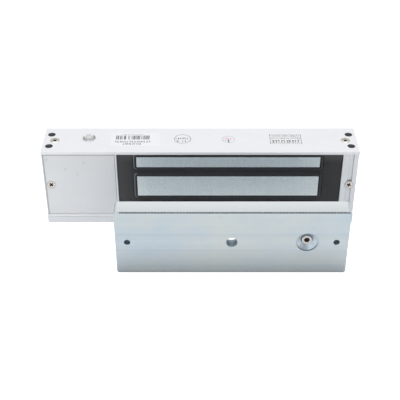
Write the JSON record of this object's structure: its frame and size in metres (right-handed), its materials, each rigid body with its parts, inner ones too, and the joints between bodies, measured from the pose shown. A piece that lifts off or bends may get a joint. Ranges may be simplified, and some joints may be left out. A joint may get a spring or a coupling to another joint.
{
  "type": "magnetic door lock",
  "caption": "Surface-mount electromagnetic door lock with a laminated magnet, wiring chamber, status light and a separate armature plate.",
  "frame": {"origin": "centre of the lock's mounting face, the large face of the mounting plate that screws to the door frame", "axes": "+X along the lock from the wiring chamber to the far end, +Y from the magnet face to the back, +Z away from the mounting face"},
  "size_m": [0.266, 0.1074, 0.0754],
  "materials": {
    "anodised_aluminium": "satin clear anodised",
    "plate_aluminium": "satin clear anodised",
    "bare_aluminium": "mill finish",
    "core_steel": "ground laminations, nickel plated",
    "black_nylon": "moulded",
    "enamelled_copper": "enamelled wire",
    "black_resin": "cast, satin",
    "red_wire": "insulated wire",
    "yellow_wire": "insulated wire",
    "green_board": "solder mask",
    "brass": "turned",
    "nickel_steel": "nickel plated",
    "black_steel": "black oxide",
    "green_plastic": "moulded",
    "blue_plastic": "moulded",
    "black_plastic": "moulded",
    "clear_lens": "clear moulded lens",
    "tinned_wire": "tinned",
    "chrome_bezel": "polished",
    "black_rubber": "moulded",
    "plug_plastic": "moulded",
    "white_label": "printed film",
    "clear_label": "printed film",
    "silver_label": "printed film",
    "zinc_steel": "bright zinc plated",
    "spring_steel": "drawn wire"
  },
  "bodies": {
    "lock": {"mounting_plate": "plate_aluminium", "housing_channel": "anodised_aluminium", "end_block_left": "bare_aluminium", "end_block_right": "bare_aluminium", "divider": "bare_aluminium", "magnet_core": "core_steel", "coil_bobbin": "black_nylon", "coil_winding": "enamelled_copper", "potting_resin": "black_resin", "coil_leads": "red_wire", "circuit_board": "green_board", "board_standoffs": "brass", "board_screws": "nickel_steel", "terminal_block": "green_plastic", "terminal_screws": "nickel_steel", "relay": "blue_plastic", "varistor": "blue_plastic", "voltage_jumpers": "black_plastic", "bond_sensor": "black_plastic", "sensor_wires": "yellow_wire", "status_led": "clear_lens", "led_legs": "tinned_wire", "led_bezel": "chrome_bezel", "wire_grommet": "black_rubber", "body_bolts": "black_steel", "tamper_plugs": "plug_plastic", "housing_screws": "nickel_steel", "end_screw_right": "nickel_steel", "barcode_label": "white_label", "inspection_sticker": "clear_label", "seal_sticker": "clear_label", "rating_label": "silver_label"},
    "cover": {"wiring_cover": "anodised_aluminium", "cover_screw": "nickel_steel"},
    "armature": {"armature_plate": "zinc_steel", "ejector_set_screw": "nickel_steel", "ejector_spring": "spring_steel"},
    "plunger": {"ejector_plunger": "nickel_steel"}
  },
  "joints": [
    {"name": "armature_close", "type": "slide", "parent": "lock", "child": "armature", "axis": [0, 0.9864, 0.1646], "range_m": [0, 0.05226]},
    {"name": "plunger_press", "type": "slide", "parent": "armature", "child": "plunger", "axis": [0, 1, 0], "range_m": [-0.0012, 0], "stiffness_N_per_m": 800, "springref_m": 0.003, "deforming": ["ejector_spring"]},
    {"name": "cover_off", "type": "slide", "parent": "lock", "child": "cover", "axis": [0, -1, 0], "range_m": [0, 0.04]}
  ]
}
